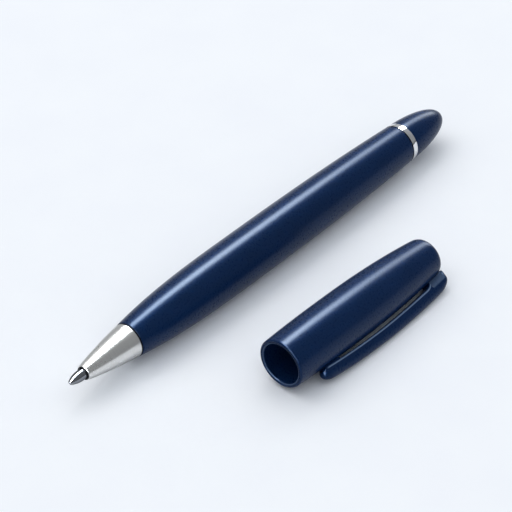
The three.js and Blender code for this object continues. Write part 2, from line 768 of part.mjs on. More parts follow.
function clipSection(x) {
  const tip = clipRounding(x, CLIP_TIP_X, CLIP_TIP_ROUND);
  const corner = clipRounding(x, clipEndX, CLIP_CORNER_ROUND);
  const halfWidth = (CLIP_WIDTH / 2) * Math.min(tip, corner);
  const edge = bowed(clipEdge, x);
  const bulge = (bowed(clipCrest, x) - edge) * clipRounding(x, clipEndX, CLIP_END_ROUND);
  const sideLow = edge - CLIP_SIDE_HEIGHT;
  const under = sideLow - CLIP_UNDER_CHAMFER;
  const underWidth = halfWidth - Math.min(CLIP_UNDER_CHAMFER, halfWidth / 2);
  const centre = CLIP_TIP_CENTRE_RADIUS;
  const points = [[-underWidth, under], [-halfWidth, sideLow], [-halfWidth, edge]];
  for (const angle of stations(Math.PI, 0, CLIP_ROUND_STEPS).slice(1, -1)) {
    points.push([halfWidth * Math.cos(angle), edge + bulge * Math.sin(angle)]);
  }
  points.push([halfWidth, edge], [halfWidth, sideLow], [underWidth, under]);
  return points.map(([y, z]) => [x, y, centre + (z - centre) * tip]);
}

function loft(sections) {
  const count = sections[0].length;
  const positions = sections.flat(2);
  const index = [];
  for (let i = 0; i < sections.length - 1; i += 1) {
    for (let j = 0; j < count; j += 1) {
      const a = i * count + j;
      const b = i * count + ((j + 1) % count);
      index.push(a, b, b + count, a, b + count, a + count);
    }
  }
  const last = (sections.length - 1) * count;
  for (let j = 1; j < count - 1; j += 1) {
    index.push(0, j + 1, j);
    index.push(last, last + j, last + j + 1);
  }
  const geometry = new THREE.BufferGeometry();
  geometry.setAttribute('position', new THREE.Float32BufferAttribute(positions, 3));
  geometry.setIndex(index);
  return geometry;
}

// Block between two radii, cut to the clip's width
function clipBlock(fromX, toX, lowZ, highZ, width) {
  const geometry = new THREE.BoxGeometry(toX - fromX, width, highZ - lowZ);
  geometry.translate((fromX + toX) / 2, 0, (lowZ + highZ) / 2);
  return toSolid(geometry);
}

// Block under the closed end of the clip, round at its end and narrower towards the cap
function clipRoot() {
  const cornerX = clipEndX - CLIP_CORNER_ROUND;
  const round = CLIP_CORNER_ROUND - SLIDE_GAP;
  const topHalf = (CLIP_WIDTH - SLIDE_GAP) / 2;
  const level = (z, half) => [
    [clipRootX, half, z],
    [clipRootX, -half, z],
    ...stations(-Math.PI / 2, Math.PI / 2, CLIP_CORNER_STEPS).map((angle) => (
      [cornerX + round * Math.cos(angle), half * Math.sin(angle), z]
    )),
  ];
  const low = capRadius(cornerX) - SLIDE_GAP;
  return toSolid(loft([level(low, topHalf - CLIP_ROOT_TAPER), level(CLIP_END_EDGE_RADIUS, topHalf)]));
}

// Space that the cap shell takes, grown by the gap that the clip keeps to it
function capKeepOut() {
  const outside = capOutline().map(([x, radius]) => [x, radius + TURNED_GAP]);
  return toSolid(revolve([[0, 0], [0, CAP_MOUTH_RADIUS], ...outside, [CAP_LENGTH, 0]], BODY_SIDES));
}

function makeClip() {
  const middle = stations(CLIP_TIP_X + CLIP_TIP_ROUND, clipEndX - CLIP_END_ROUND, CLIP_STEPS);
  const tip = stations(0, 1, CLIP_END_STEPS).slice(0, -1).map((t) => CLIP_TIP_X + CLIP_TIP_ROUND * t ** 2);
  const end = stations(1, 0, CLIP_STEPS / 2).slice(1).map((t) => clipEndX - CLIP_END_ROUND * t ** 2);
  const arm = toSolid(loft([...tip, ...middle, ...end].map(clipSection)));
  const padX = CLIP_TIP_X + CLIP_PAD_START;
  const pad = clipBlock(
    padX,
    padX + CLIP_PAD_LENGTH,
    capRadius(CLIP_TIP_X),
    CLIP_TIP_EDGE_RADIUS,
    CLIP_WIDTH - SLIDE_GAP,
  );
  const barbTop = capBoreRadius(barbEndX) - TURNED_GAP - FOOT_LENGTH * Math.sin(footTravel);
  const barbLow = barbTop - FOOT_BARB_THICKNESS;
  const foot = clipBlock(footStartX, footEndX, barbLow, CLIP_END_EDGE_RADIUS, FOOT_WIDTH);
  const barb = clipBlock(footStartX, barbEndX, barbLow, barbTop, FOOT_WIDTH);
  const outer = arm.add(pad).add(clipRoot()).subtract(capKeepOut());
  return toGeometry(outer.add(foot).add(barb));
}

// Assembly

function makePen() {
  const pen = new THREE.Group();
  pen.add(named('barrel', makeBarrel(), navy));
  pen.add(named('front_insert', makeFrontInsert(), brass));
  pen.add(named('tail_insert', makeTailInsert(), black));
  pen.add(named('trim_ring', makeTrimRing(), chrome));
  pen.add(named('finial', makeFinial(), navy));
  pen.add(named('seal_ring', makeSealRing(), black));
  pen.add(named('nose_cone', makeNoseCone(), satinSteel));
  pen.add(named('nose_bush', makeNoseBush(), black));
  pen.add(named('refill_tube', makeRefillTube(), clearPlastic));
  pen.add(named('refill_neck', makeRefillNeck(), black));
  pen.add(named('refill_tip', makeRefillTip(), polishedSteel));
  pen.add(named('writing_ball', makeWritingBall(), polishedSteel));
  pen.add(named('feed_rod', makeFeedRod(), fibre));
  pen.add(named('ink_filler', makeInkFiller(), fibre));
  pen.add(named('refill_end_plug', makeRefillEndPlug(), black));
  pen.add(named('spring_cup', makeSpringCup(), black));
  pen.add(named('refill_spring', makeRefillSpring(), springSteel));
  return pen;
}

function makeCap() {
  const cap = new THREE.Group();
  const clipSide = new THREE.Group();
  clipSide.rotation.x = THREE.MathUtils.degToRad(90 + CLIP_BELOW_LEVEL_DEG);
  clipSide.add(named('cap_shell', makeCapShell(), navy));
  clipSide.add(named('clip', makeClip(), navy));
  cap.add(clipSide);
  cap.add(named('cap_liner', makeCapLiner(), darkNavy));
  cap.add(named('clip_lock', makeClipLock(), black));
  return cap;
}

// Lets a group down until its lowest point is on the table
function restOnTable(group) {
  group.updateMatrixWorld(true);
  group.position.z -= new THREE.Box3().setFromObject(group, true).min.z;
}

const pen = makePen();
restOnTable(pen);

const cap = makeCap();
cap.position.set(CAP_MOUTH_X, -CAP_DISTANCE, 0);
cap.rotation.y = THREE.MathUtils.degToRad(CAP_TILT_DEG);
restOnTable(cap);

const penAndCap = new THREE.Group();
penAndCap.add(pen, cap);

// The origin is the middle of the space that both take on the table
const footprint = new THREE.Box3().setFromObject(penAndCap, true);
const centre = footprint.getCenter(new THREE.Vector3());
penAndCap.position.set(-centre.x, -centre.y, 0);

export default penAndCap;
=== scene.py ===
import math

import bmesh
import bpy
from mathutils import Matrix, Vector


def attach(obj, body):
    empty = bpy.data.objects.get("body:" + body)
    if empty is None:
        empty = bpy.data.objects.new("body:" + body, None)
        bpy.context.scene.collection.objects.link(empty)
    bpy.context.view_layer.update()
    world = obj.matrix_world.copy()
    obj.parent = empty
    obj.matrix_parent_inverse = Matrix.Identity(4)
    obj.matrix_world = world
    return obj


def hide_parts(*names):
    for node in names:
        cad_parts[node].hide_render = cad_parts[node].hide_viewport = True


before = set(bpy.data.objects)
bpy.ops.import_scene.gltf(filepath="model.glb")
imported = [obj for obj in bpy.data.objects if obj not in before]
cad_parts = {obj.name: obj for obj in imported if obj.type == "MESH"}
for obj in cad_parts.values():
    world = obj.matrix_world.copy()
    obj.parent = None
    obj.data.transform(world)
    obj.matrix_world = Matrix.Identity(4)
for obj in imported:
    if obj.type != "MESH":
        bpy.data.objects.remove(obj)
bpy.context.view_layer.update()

# A rollerball pen with its cap taken off, on a pale table. Profiles are in millimetres:
# a pen piece is drawn along +X from the front of the ball, a cap piece from the cap's mouth.

MM = 0.001

# Where the pen and the cap lie, in metres
PEN_PLACE = Matrix.Translation((-0.064275, 0.0165489, 0.0061195))
CAP_TILT = Matrix.Rotation(math.radians(1.5), 4, "Y")
CAP_PLACE = Matrix.Translation((-0.030435, -0.0142511, 0.0071161)) @ CAP_TILT
CLIP_PLACE = CAP_PLACE @ Matrix.Rotation(math.radians(125), 4, "X")

# Sides of the turned pieces, and where their shading breaks
BODY_SIDES = 144
SMALL_SIDES = 72
BALL_SIDES = 48
SHARP_ANGLE = math.radians(38)
ROUNDING_STEPS = 4
NEARLY_HALF = 0.49


# Sizes of the barrel, the trim ring and the finial

BARREL_FRONT = 18.88
BARREL_END = 112.05
BELLY = 57.0
BELLY_RADIUS = 6.12
FRONT_NARROWING = 1.85
FRONT_POWER = 3.07
REAR_NARROWING = 1.1
REAR_POWER = 2.5
BORE_RADIUS = 3.9
BORE_START = 30
INSERT_SEAT_RADIUS = 3.69
INSERT_SEAT_END = 26.88
INSERT_STOP_RADIUS = 3.3

TRIM_START = 112.4
TRIM_REAR = 113.82
TAIL_INSERT_HOLE = 3.19

FINIAL_START = 113.87
FINIAL_BORE_END = 121.25
TAIL = 128.0
FINIAL_RADIUS = 4.93
FINIAL_EDGE_RADIUS = 4.9
FINIAL_ALONG_POWER = 1.7
FINIAL_ROUND_POWER = 2.4

# Sizes of the seal, the nose and its bush

SEAL_FRONT = 18.46
SEAL_REAR = 18.86
SEAL_BORE_RADIUS = 3.3

NOSE_FRONT = 4.45
NOSE_FRONT_RADIUS = 1.79
NOSE_REAR = 18.65
NOSE_WIDENING = 2.41
NOSE_CURVE = 0.8
CONE_END = 18.44
BUSH_SEAT_RADIUS = 1.54
BUSH_SEAT_END = 8.35

SPIGOT_END = 24.7
SPIGOT_RADIUS = 2.9
SPIGOT_BORE_START = 14.7
SPIGOT_BORE_RADIUS = 2.25
THREAD_START = 19.7
THREAD_TURNS = 3.5
THREAD_PITCH = 1
THREAD_ROOT = 2.8
THREAD_CREST = 3.2
THREAD_ROOT_WIDTH = 0.62
THREAD_CREST_WIDTH = 0.24
THREAD_STEPS_A_TURN = 72

BUSH_FRONT = 4.18
BUSH_LIP_END = 4.42
BUSH_LIP_RADIUS = 1.62
BUSH_RADIUS = 1.5
BUSH_BORE_RADIUS = 1.3
BUSH_END = 8.32

# Sizes of the metal point and its ball

TIP_RADIUS = 1.28
TIP_NARROWING = 0.83
TIP_POWER = 2.9
TIP_SHOULDER = 4.2
TIP_RIM = 0.2
TIP_RIM_OUTSIDE = 0.24
TIP_RIM_HOLE = 0.385
TIP_REAR = 10
STEM_RADIUS = 0.92
STEM_END = 13.4
ROD_HOLE_RADIUS = 0.46
ROD_HOLE_START = 2.07
INK_HOLE_RADIUS = 0.21
INK_HOLE_START = 0.84
INK_HOLE_END = 1.86
BALL_RADIUS = 0.38
SOCKET_RADIUS = 0.42
SOCKET_FLOOR = 0.677

# Sizes of the cap and its inner cup

CAP_LENGTH = 51.3
CAP_BELLY = 20.0
CAP_BELLY_RADIUS = 6.36
CAP_FRONT_NARROWING = 0.36
CAP_FRONT_POWER = 2.5
CAP_REAR_NARROWING = 1.725
CAP_REAR_POWER = 2.24
CAP_DOME = 47.6
CAP_ALONG_POWER = 5.45
CAP_ROUND_POWER = 4.4
CAP_BORE_RADIUS = 4.95
CAP_BORE_END = 49.6
CAP_NARROW_BORE = 35
CAP_WALL = 1.05
LIP = 0.42

LINER_FRONT = 12
LINER_MOUTH_RADIUS = 3.8
LINER_SEAT_RADIUS = 4.87
LINER_WAIST_RADIUS = 4.37
LINER_WAIST = (15.2, 31.8)
LINER_INSIDE_RADIUS = 3.87
LINER_LIP_RADIUS = 3.3
LINER_LIP = (12.5, 13.6)
LINER_FLOOR = 33.8
LINER_END = 35


# Outer forms

def barrel_radius(x):
    if x <= BELLY:
        return BELLY_RADIUS - FRONT_NARROWING * ((BELLY - x) / (BELLY - BARREL_FRONT)) ** FRONT_POWER
    return BELLY_RADIUS - REAR_NARROWING * ((x - BELLY) / (BARREL_END - BELLY)) ** REAR_POWER


def finial_radius(x):
    along = min((x - FINIAL_START) / (TAIL - FINIAL_START), 1)
    return FINIAL_RADIUS * (1 - along ** FINIAL_ALONG_POWER) ** (1 / FINIAL_ROUND_POWER)


def nose_radius(x):
    along = (x - NOSE_FRONT) / (NOSE_REAR - NOSE_FRONT)
    return NOSE_FRONT_RADIUS + NOSE_WIDENING * along + NOSE_CURVE * along * (1 - along)


def tip_radius(x):
    before_shoulder = max((TIP_SHOULDER - x) / (TIP_SHOULDER - TIP_RIM), 0)
    return TIP_RADIUS - TIP_NARROWING * before_shoulder ** TIP_POWER


def cap_radius(x):
    if x <= CAP_BELLY:
        return CAP_BELLY_RADIUS - CAP_FRONT_NARROWING * ((CAP_BELLY - x) / CAP_BELLY) ** CAP_FRONT_POWER
    along = (x - CAP_BELLY) / (CAP_LENGTH - CAP_BELLY)
    wall = CAP_BELLY_RADIUS - CAP_REAR_NARROWING * along ** CAP_REAR_POWER
    dome = min(max((x - CAP_DOME) / (CAP_LENGTH - CAP_DOME), 0), 1)
    return wall * (1 - dome ** CAP_ALONG_POWER) ** (1 / CAP_ROUND_POWER)


def cap_bore(x):
    return min(CAP_BORE_RADIUS, cap_radius(x) - CAP_WALL)


# Mesh helpers

def stations(start, stop, steps):
    return [start + (stop - start) * i / steps for i in range(steps + 1)]


def dome_stations(start, stop, steps):
    """Stations that lie closer together towards the stop."""
    return [start + (stop - start) * math.sin(a) for a in stations(0, math.pi / 2, steps)]


def softened(points):
    """Rounds the corners of a closed loop. A point is (x, radius), and its rounding may be third.
    A rounding takes less than half of each side."""
    out = []
    for i, point in enumerate(points):
        corner = Vector(point[:2])
        size = point[2] if len(point) > 2 else 0
        if size == 0:
            out.append(tuple(corner))
            continue
        before = Vector(points[i - 1][:2]) - corner
        after = Vector(points[(i + 1) % len(points)][:2]) - corner
        a = corner + before.normalized() * min(size, before.length * NEARLY_HALF)
        b = corner + after.normalized() * min(size, after.length * NEARLY_HALF)
        for t in stations(0, 1, ROUNDING_STEPS):
            out.append(tuple(a * (1 - t) ** 2 + corner * 2 * t * (1 - t) + b * t * t))
    return out


def shade(mesh):
    """Smooth shading that breaks at the sharp edges."""
    mesh.shade_smooth()
    mesh.set_sharp_from_angle(angle=SHARP_ANGLE)


def new_piece(name, mesh_data, place, material):
    """An object from a bmesh in millimetres, placed in the shared frame."""
    bmesh.ops.recalc_face_normals(mesh_data, faces=mesh_data.faces)
    bmesh.ops.scale(mesh_data, vec=(MM, MM, MM), verts=mesh_data.verts)
    bmesh.ops.transform(mesh_data, matrix=place, verts=mesh_data.verts)
    mesh = bpy.data.meshes.new(name)
    mesh_data.to_mesh(mesh)
    mesh_data.free()
    shade(mesh)
    piece = bpy.data.objects.new(name, mesh)
    mesh.materials.append(material)
    bpy.context.scene.collection.objects.link(piece)
    return piece


def add_lathe(bm, loop, sides):
    """Turns a loop of (x, radius) round the X axis. A point on the axis becomes one corner."""
    rings = []
    for x, radius in loop:
        if radius < 1e-6:
            rings.append([bm.verts.new((x, 0, 0))])
            continue
        ring = []
        for k in range(sides):
            angle = 2 * math.pi * k / sides
            ring.append(bm.verts.new((x, radius * math.cos(angle), radius * math.sin(angle))))
        rings.append(ring)
    for i, ring in enumerate(rings):
        other = rings[(i + 1) % len(rings)]
        if len(ring) == 1 and len(other) == 1:
            continue
        for k in range(sides):
            n = (k + 1) % sides
            if len(ring) == 1:
                bm.faces.new((ring[0], other[k], other[n]))
            elif len(other) == 1:
                bm.faces.new((ring[k], other[0], ring[n]))
            else:
                bm.faces.new((ring[k], other[k], other[n], ring[n]))


def lathe(name, loop, place, material, sides=BODY_SIDES):
    bm = bmesh.new()
    add_lathe(bm, softened(loop), sides)
    return new_piece(name, bm, place, material)


def add_loft(bm, sections):
    """Joins closed sections with the same number of points, and closes both ends."""
    rings = [[bm.verts.new(point) for point in section] for section in sections]
    count = len(rings[0])
    for ring, other in zip(rings, rings[1:]):
        for j in range(count):
            n = (j + 1) % count
            bm.faces.new((ring[j], ring[n], other[n], other[j]))
    bm.faces.new(rings[0][::-1])
    bm.faces.new(rings[-1])


def box(name, low, high, place, material):
    bm = bmesh.new()
    for v in bmesh.ops.create_cube(bm, size=1)["verts"]:
        v.co = Vector([low[i] + (v.co[i] + 0.5) * (high[i] - low[i]) for i in range(3)])
    return new_piece(name, bm, place, material)


def combine(piece, other, how):
    """Unites or cuts a piece with another one, which is used up."""
    modifier = piece.modifiers.new("combine", "BOOLEAN")
    modifier.operation = how
    modifier.solver = "EXACT"
    modifier.object = other
    bpy.context.view_layer.update()
    result = bpy.data.meshes.new_from_object(piece.evaluated_get(bpy.context.evaluated_depsgraph_get()))
    piece.modifiers.clear()
    piece.data = result
    bpy.data.objects.remove(other)
    shade(result)


# Node helpers

def linear(red, green, blue):
    """An sRGB colour, 0 to 255, as the linear one that a shader takes."""
    out = []
    for value in (red, green, blue):
        c = value / 255
        out.append(c / 12.92 if c <= 0.04045 else ((c + 0.055) / 1.055) ** 2.4)
    return (*out, 1)


def darkened(colour, share):
    return tuple(share * c for c in colour[:3]) + (1,)


def map_range(tree, value, start, stop, low, high, smooth=False):
    """Turns start into low and stop into high, and stays between these two."""
    node = tree.nodes.new("ShaderNodeMapRange")
    if smooth:
        node.interpolation_type = "SMOOTHSTEP"
    limits = {"From Min": start, "From Max": stop, "To Min": low, "To Max": high}
    for socket, limit in limits.items():
        node.inputs[socket].default_value = limit
    tree.links.new(value, node.inputs["Value"])
    return node.outputs["Result"]


# Materials

class Look:
    """A node material: a Principled shader whose colour, roughness and bump come from textures
    in the piece's own space. Texture scales are per metre."""

    def __init__(self, name, metallic=0.0):
        self.material = bpy.data.materials.new(name)
        self.material.use_nodes = True
        self.tree = self.material.node_tree
        self.shader = self.tree.nodes["Principled BSDF"]
        self.shader.inputs["Metallic"].default_value = metallic
        self.place = self.tree.nodes.new("ShaderNodeTexCoord").outputs["Object"]

    def set(self, **values):
        for name, value in values.items():
            self.shader.inputs[name.replace("_", " ")].default_value = value

    def use(self, socket, value):
        self.tree.links.new(value, self.shader.inputs[socket])

    def noise(self, along, across, detail, roughness=0.5):
        """Noise with one scale along the pen and one across it."""
        stretched = self.tree.nodes.new("ShaderNodeMapping")
        stretched.inputs["Scale"].default_value = (along, across, across)
        self.tree.links.new(self.place, stretched.inputs["Vector"])
        node = self.tree.nodes.new("ShaderNodeTexNoise")
        node.inputs["Scale"].default_value = 1.0
        node.inputs["Detail"].default_value = detail
        node.inputs["Roughness"].default_value = roughness
        self.tree.links.new(stretched.outputs["Vector"], node.inputs["Vector"])
        return node.outputs["Fac"]

    def spread(self, value, low, high):
        """Spreads the middle part of a noise between two values."""
        return map_range(self.tree, value, 0.3, 0.7, low, high)

    def colours(self, value, *stops):
        node = self.tree.nodes.new("ShaderNodeValToRGB")
        for element, (position, colour) in zip(node.color_ramp.elements, stops):
            element.position = position
            element.color = colour
        self.tree.links.new(value, node.inputs["Fac"])
        return node.outputs["Color"]

    def lighter_where(self, attribute, colour, lighter):
        """Mixes in a lighter colour where a mesh attribute is above zero."""
        share = self.tree.nodes.new("ShaderNodeAttribute")
        share.attribute_name = attribute
        node = self.tree.nodes.new("ShaderNodeMix")
        node.data_type = "RGBA"
        self.tree.links.new(share.outputs["Fac"], node.inputs["Factor"])
        self.tree.links.new(colour, node.inputs["A"])
        node.inputs["B"].default_value = lighter
        return node.outputs["Result"]

    def bump(self, value, strength, distance):
        node = self.tree.nodes.new("ShaderNodeBump")
        node.inputs["Strength"].default_value = strength
        node.inputs["Distance"].default_value = distance
        self.tree.links.new(value, node.inputs["Height"])
        self.use("Normal", node.outputs["Normal"])


# A painted highlight: a lighter colour that a mesh attribute mixes into the lacquer on the clip and the
# cap's lip
HIGHLIGHT_ATTRIBUTE = "painted_highlight"
HIGHLIGHT_COLOUR = linear(128, 152, 186)


def lacquer(name, deeper, lighter):
    """Deep navy gloss: a barely uneven colour under a clear layer, with faint orange peel. It is paler
    where a highlight is painted into its colour through a mesh attribute."""
    look = Look(name)
    clouds = look.noise(120, 300, detail=2)
    colour = look.colours(clouds, (0.3, deeper), (0.7, lighter))
    # Painted highlight: the lighter colour is mixed in where the mesh attribute is set
    look.use("Base Color", look.lighter_where(HIGHLIGHT_ATTRIBUTE, colour, HIGHLIGHT_COLOUR))
    fine = look.noise(2200, 2200, detail=2)
    look.use("Roughness", look.spread(fine, 0.26, 0.31))
    look.set(Specular_IOR_Level=0.15, Specular_Tint=(0.5, 0.7, 0.95, 1))
    look.set(Coat_Weight=0.03, Coat_Roughness=0.12, Coat_IOR=1.5)
    orange_peel = look.noise(900, 900, detail=1)
    look.bump(orange_peel, strength=0.04, distance=0.02 * MM)
    return look.material


def steel(name, base, roughness, lines, rim=1.0):
    """Metal turned or brushed round its axis: fine rings in the colour and the relief, and
    patches in the roughness. A rim below one reflects less where the surface turns away."""
    look = Look(name, metallic=1.0)
    rings = look.noise(lines, lines * 0.03, detail=4, roughness=0.65)
    patches = look.noise(350, 350, detail=3)
    look.use("Base Color", look.colours(rings, (0.3, darkened(base, 0.88)), (0.7, base)))
    look.use("Roughness", look.spread(patches, *roughness))
    look.set(Specular_Tint=(rim, rim, rim, 1))
    look.bump(rings, strength=0.05, distance=0.01 * MM)
    return look.material


def moulded(name, base, roughness, grain=2500):
    """Moulded plastic or rubber with a fine grain."""
    look = Look(name)
    fine = look.noise(grain, grain, detail=3)
    look.use("Base Color", look.colours(fine, (0.35, darkened(base, 0.8)), (0.65, base)))
    look.use("Roughness", look.spread(fine, roughness - 0.06, roughness + 0.06))
    look.set(Specular_IOR_Level=0.1)
    look.bump(fine, strength=0.15, distance=0.02 * MM)
    return look.material


def fibre(name, base):
    """Bonded fibre soaked with ink: strands along the pen."""
    look = Look(name)
    strands = look.noise(200, 9000, detail=4)
    look.use("Base Color", look.colours(strands, (0.3, darkened(base, 0.45)), (0.7, base)))
    look.use("Roughness", look.spread(strands, 0.7, 0.95))
    look.bump(strands, strength=0.5, distance=0.05 * MM)
    return look.material


def table_top(name, deeper, lighter):
    """A matt, almost even surface."""
    look = Look(name)
    grain = look.noise(60, 60, detail=2)
    look.use("Base Color", look.colours(grain, (0.3, deeper), (0.7, lighter)))
    look.set(Roughness=0.9, Specular_IOR_Level=0.0)
    return look.material


NAVY = lacquer("navy_lacquer", linear(8, 31, 65), linear(10, 34, 70))
SATIN_STEEL = steel("satin_steel", (0.74, 0.735, 0.72, 1), (0.27, 0.29), lines=9000, rim=0.5)
POLISHED_STEEL = steel("polished_steel", (0.25, 0.26, 0.28, 1), (0.05, 0.08), lines=6000, rim=0.05)
BRIGHT_TRIM = steel("bright_trim", (0.8, 0.8, 0.81, 1), (0.04, 0.06), lines=5000)
SPRING_STEEL = steel("spring_steel", (0.62, 0.63, 0.65, 1), (0.25, 0.35), lines=4000)
BRASS = steel("brass_bush", (0.69, 0.50, 0.22, 1), (0.28, 0.38), lines=6000)
BLACK = moulded("black_plastic", linear(20, 21, 24), 0.35)
LINING = moulded("dark_lining", linear(9, 18, 42), 0.5)
RUBBER = moulded("seal_rubber", linear(6, 8, 18), 0.7, grain=4000)
CLEAR = moulded("clear_plastic", linear(214, 218, 223), 0.4)
INK = fibre("ink_fibre", linear(40, 52, 120))
TABLE = table_top("pale_table", linear(242, 246, 253), linear(244, 248, 254))


# Pieces of the pen. A third number in a profile is the size of that corner's rounding.

barrel = lathe("barrel_fine", [
    (BARREL_FRONT, barrel_radius(BARREL_FRONT), 0.08),
    *[(x, barrel_radius(x)) for x in stations(BARREL_FRONT + 0.5, BELLY, 44)],
    *[(x, barrel_radius(x)) for x in stations(BELLY, BARREL_END - 0.4, 40)[1:]],
    (BARREL_END, barrel_radius(BARREL_END), 0.12),
    (BARREL_END, BORE_RADIUS),
    (BORE_START, BORE_RADIUS),
    (BORE_START, INSERT_STOP_RADIUS),
    (INSERT_SEAT_END, INSERT_STOP_RADIUS),
    (INSERT_SEAT_END, INSERT_SEAT_RADIUS),
    (BARREL_FRONT, INSERT_SEAT_RADIUS, 0.1),
], PEN_PLACE, NAVY)
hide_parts("barrel")
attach(barrel, "pen_body")

finial = lathe("finial_fine", [
    (FINIAL_START, FINIAL_EDGE_RADIUS, 0.12),
    *[(x, finial_radius(x)) for x in dome_stations(FINIAL_START + 0.3, TAIL, 48)[:-1]],
    (TAIL, 0),
    (FINIAL_BORE_END, 0),
    (FINIAL_BORE_END, TAIL_INSERT_HOLE),
    (FINIAL_START, TAIL_INSERT_HOLE),
], PEN_PLACE, NAVY)
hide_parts("finial")
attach(finial, "pen_body")

# The ring bulges slightly and narrows towards the tail
trim = lathe("trim_ring_fine", [
    (TRIM_START, TAIL_INSERT_HOLE),
    (TRIM_START, 5.0),
    (112.8, 5.025),
    (113.3, 4.985),
    (TRIM_REAR, 4.93),
    (TRIM_REAR, TAIL_INSERT_HOLE),
], PEN_PLACE, BRIGHT_TRIM)
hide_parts("trim_ring")
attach(trim, "pen_body")

seal = lathe("seal_ring_fine", [
    (SEAL_FRONT, SEAL_BORE_RADIUS),
    (SEAL_FRONT, 4.13, 0.04),
    (SEAL_REAR, 4.15, 0.04),
    (SEAL_REAR, SEAL_BORE_RADIUS),
], PEN_PLACE, RUBBER)
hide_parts("seal_ring")
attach(seal, "seal")


def add_thread(bm):
    """A trapezoid ridge wound round the nose's spigot, fading over half a turn at both ends."""
    steps = round(THREAD_TURNS * THREAD_STEPS_A_TURN)
    fade = THREAD_STEPS_A_TURN / 2
    root = THREAD_ROOT_WIDTH / 2
    crest = THREAD_CREST_WIDTH / 2
    sections = []
    for i in range(steps + 1):
        height = min(1, (i + 0.5) / fade, (steps - i + 0.5) / fade)
        top = THREAD_ROOT + (THREAD_CREST - THREAD_ROOT) * height
        angle = 2 * math.pi * i / THREAD_STEPS_A_TURN
        x = THREAD_START + THREAD_PITCH * i / THREAD_STEPS_A_TURN
        outline = ((-root, THREAD_ROOT), (-crest, top), (crest, top), (root, THREAD_ROOT))
        sections.append([
            (x + offset, radius * math.cos(angle), radius * math.sin(angle))
            for offset, radius in outline])
    add_loft(bm, sections)


bm = bmesh.new()
add_lathe(bm, softened([
    (NOSE_FRONT, BUSH_SEAT_RADIUS),
    (NOSE_FRONT, NOSE_FRONT_RADIUS, 0.1),
    *[(x, nose_radius(x)) for x in stations(NOSE_FRONT + 0.25, CONE_END - 0.2, 30)],
    (CONE_END, nose_radius(CONE_END), 0.08),
    (CONE_END, SPIGOT_RADIUS),
    (SPIGOT_END, SPIGOT_RADIUS, 0.15),
    (SPIGOT_END, SPIGOT_BORE_RADIUS),
    (SPIGOT_BORE_START, SPIGOT_BORE_RADIUS),
    (BUSH_SEAT_END, BUSH_SEAT_RADIUS),
]), BODY_SIDES)
add_thread(bm)
nose = new_piece("nose_cone_fine", bm, PEN_PLACE, SATIN_STEEL)
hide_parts("nose_cone")
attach(nose, "nose")

bush = lathe("nose_bush_fine", [
    (BUSH_FRONT, BUSH_BORE_RADIUS, 0.05),
    (BUSH_FRONT, BUSH_LIP_RADIUS, 0.12),
    (BUSH_LIP_END, BUSH_LIP_RADIUS, 0.04),
    (BUSH_LIP_END, BUSH_RADIUS),
    (BUSH_END, BUSH_RADIUS),
    (BUSH_END, BUSH_BORE_RADIUS),
], PEN_PLACE, BLACK, SMALL_SIDES)
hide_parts("nose_bush")
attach(bush, "nose")

# Outside from the rim to the stem, then inside from the stem to the ball's socket
tip = lathe("refill_tip_fine", [
    *[(x, tip_radius(x)) for x in dome_stations(TIP_SHOULDER, TIP_RIM_OUTSIDE, 30)[::-1]],
    (TIP_REAR, TIP_RADIUS, 0.1),
    (TIP_REAR, STEM_RADIUS),
    (STEM_END, STEM_RADIUS),
    (STEM_END, ROD_HOLE_RADIUS),
    (ROD_HOLE_START, ROD_HOLE_RADIUS),
    (INK_HOLE_END, INK_HOLE_RADIUS),
    (INK_HOLE_START, INK_HOLE_RADIUS),
    (SOCKET_FLOOR, SOCKET_RADIUS, 0.05),
    (BALL_RADIUS, SOCKET_RADIUS),
    (TIP_RIM, TIP_RIM_HOLE, 0.03),
], PEN_PLACE, POLISHED_STEEL, SMALL_SIDES)
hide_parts("refill_tip")
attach(tip, "refill")

ball = lathe("writing_ball_fine", [
    (BALL_RADIUS - BALL_RADIUS * math.cos(a), BALL_RADIUS * math.sin(a))
    for a in stations(0, math.pi, 24)
], PEN_PLACE, POLISHED_STEEL, BALL_SIDES)
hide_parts("writing_ball")
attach(ball, "ball")


# Pieces of the cap

# The clip's foot goes through a window in the shell
WINDOW_LOW = (45.6, -1.3, 0)
WINDOW_HIGH = (48.8, 1.3, 6.6)

# A painted highlight line on the inner side of the lip
LIP_LINE_RADIUS = 5.1
LIP_LINE_HALF = 0.2
LIP_LINE_SHARE = 0.25

outer_lip = [
    (LIP * (1 - math.sin(a)), cap_radius(LIP) - LIP * (1 - math.cos(a)))
    for a in stations(math.pi / 2, 0, 8)]
inner_lip = [
    (LIP * (1 - math.cos(a)), CAP_BORE_RADIUS + LIP * (1 - math.sin(a)))
    for a in stations(0, math.pi / 2, 8)]
shell = lathe("cap_shell_fine", [
    *outer_lip,
    *[(x, cap_radius(x)) for x in stations(LIP, CAP_BELLY, 24)[1:]],
    *[(x, cap_radius(x)) for x in stations(CAP_BELLY, CAP_DOME, 30)[1:]],
    *[(x, cap_radius(x)) for x in dome_stations(CAP_DOME, CAP_LENGTH, 36)[1:-1]],
    (CAP_LENGTH, 0),
    (CAP_BORE_END, 0),
    *[(x, cap_bore(x)) for x in stations(CAP_BORE_END, CAP_NARROW_BORE, 14)],
    *inner_lip,
], CLIP_PLACE, NAVY)
# The lip's painted highlight, as a share per vertex that fades away from the line
lip_highlight = shell.data.attributes.new(HIGHLIGHT_ATTRIBUTE, "FLOAT", "POINT")
for vert, share in zip(shell.data.vertices, lip_highlight.data):
    on_cap = CLIP_PLACE.inverted() @ vert.co / MM
    if on_cap.x < LIP * 0.6:
        from_line = abs(math.hypot(on_cap.y, on_cap.z) - LIP_LINE_RADIUS)
        share.value = LIP_LINE_SHARE * max(0, 1 - from_line / LIP_LINE_HALF)
combine(shell, box("foot_window", WINDOW_LOW, WINDOW_HIGH, CLIP_PLACE, NAVY), "DIFFERENCE")
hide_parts("cap_shell")
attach(shell, "cap")

